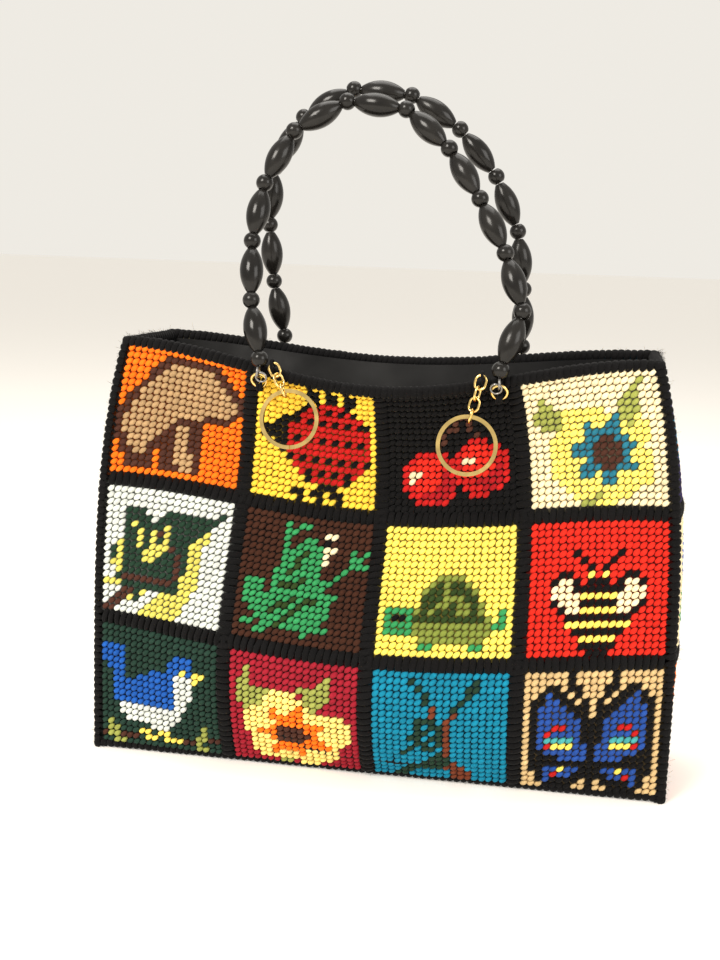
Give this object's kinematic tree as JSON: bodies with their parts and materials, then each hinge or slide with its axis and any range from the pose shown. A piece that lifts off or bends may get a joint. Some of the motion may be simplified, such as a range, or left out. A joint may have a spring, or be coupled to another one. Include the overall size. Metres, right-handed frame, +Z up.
{
  "type": "knitting bag",
  "caption": "Box-shaped needlepoint bag of picture squares joined with black yarn, fabric lined, with swinging bead-and-wire handles and key ring fobs on short chains.",
  "frame": {"origin": "middle of the base, on the surface the bag stands on", "axes": "+Z up, +X along the wide front to the right as seen from the front, -Y out of the front"},
  "size_m": [0.312, 0.1134, 0.3623],
  "materials": {
    "base_yarn": "wool stitches on canvas",
    "bead": "glossy, polished",
    "black_wool": "wool stitches on canvas",
    "black_yarn": "fuzzy wool",
    "brown": "wool stitches on canvas",
    "cream": "wool stitches on canvas",
    "crimson": "wool stitches on canvas",
    "gold": "bright gold-coloured plate",
    "green": "wool stitches on canvas",
    "lining": "satin weave",
    "orange": "wool stitches on canvas",
    "pale_yellow": "wool stitches on canvas",
    "purple": "wool stitches on canvas",
    "red": "wool stitches on canvas",
    "steel": "bright",
    "tan": "wool stitches on canvas",
    "teal": "wool stitches on canvas",
    "white": "wool stitches on canvas",
    "wire": "drawn wire",
    "yellow": "wool stitches on canvas"
  },
  "bodies": {
    "bag": {"back_seams": "black_yarn", "back_square_row_1_col_1": "cream", "back_square_row_1_col_2": "red", "back_square_row_1_col_3": "teal", "back_square_row_1_col_4": "yellow", "back_square_row_2_col_1": "purple", "back_square_row_2_col_2": "pale_yellow", "back_square_row_2_col_3": "green", "back_square_row_2_col_4": "white", "back_square_row_3_col_1": "orange", "back_square_row_3_col_2": "tan", "back_square_row_3_col_3": "brown", "back_square_row_3_col_4": "crimson", "back_tabs": "black_yarn", "base_panel": "base_yarn", "base_seams": "black_yarn", "corner_seams": "black_yarn", "front_seams": "black_yarn", "front_square_row_1_col_1": "orange", "front_square_row_1_col_2": "yellow", "front_square_row_1_col_3": "black_wool", "front_square_row_1_col_4": "cream", "front_square_row_2_col_1": "white", "front_square_row_2_col_2": "brown", "front_square_row_2_col_3": "pale_yellow", "front_square_row_2_col_4": "red", "front_square_row_3_col_1": "green", "front_square_row_3_col_2": "crimson", "front_square_row_3_col_3": "teal", "front_square_row_3_col_4": "tan", "front_tabs": "black_yarn", "left_side_seams": "black_yarn", "left_side_square_row_1": "teal", "left_side_square_row_2": "yellow", "left_side_square_row_3": "crimson", "lining_back": "lining", "lining_base": "lining", "lining_front": "lining", "lining_left": "lining", "lining_right": "lining", "right_side_seams": "black_yarn", "right_side_square_row_1": "purple", "right_side_square_row_2": "cream", "right_side_square_row_3": "orange", "rim_binding": "black_yarn"},
    "front_handle": {"front_handle_oval_beads": "bead", "front_handle_rings": "gold", "front_handle_round_beads": "bead", "front_handle_spare_rings": "steel", "front_handle_wire": "wire"},
    "back_handle": {"back_handle_oval_beads": "bead", "back_handle_rings": "gold", "back_handle_round_beads": "bead", "back_handle_spare_rings": "steel", "back_handle_wire": "wire"},
    "left_fob_chain_body": {"left_fob_chain": "gold"},
    "left_key_ring_body": {"left_fob_key_ring": "gold"},
    "right_fob_chain_body": {"right_fob_chain": "gold"},
    "right_key_ring_body": {"right_fob_key_ring": "gold"}
  },
  "joints": [
    {"name": "front_handle_swing", "type": "hinge", "parent": "bag", "child": "front_handle", "pos_m": [0, -0.04822, 0.20374], "axis": [1, 0, 0], "range_deg": [-2, 95]},
    {"name": "back_handle_swing", "type": "hinge", "parent": "bag", "child": "back_handle", "pos_m": [0, 0.03513, 0.20949], "axis": [-1, 0, 0], "range_deg": [-2, 95]},
    {"name": "left_fob_swing", "type": "hinge", "parent": "bag", "child": "left_fob_chain_body", "pos_m": [-0.05341, -0.0508, 0.21351], "axis": [0, -0.9925, 0.1219], "range_deg": [-26, 10]},
    {"name": "left_key_ring_swing", "type": "hinge", "parent": "left_fob_chain_body", "child": "left_key_ring_body", "pos_m": [-0.04772, -0.05223, 0.20191], "axis": [-0.8988, -0.0534, -0.4351], "range_deg": [0, 60]},
    {"name": "right_fob_swing", "type": "hinge", "parent": "bag", "child": "right_fob_chain_body", "pos_m": [0.05067, -0.05268, 0.21259], "axis": [0, -0.9925, 0.1219], "range_deg": [-10, 6]},
    {"name": "right_key_ring_swing", "type": "hinge", "parent": "right_fob_chain_body", "child": "right_key_ring_body", "pos_m": [0.04649, -0.05489, 0.1946], "axis": [-0.9744, 0.0274, 0.2233], "range_deg": [0, 60]}
  ]
}
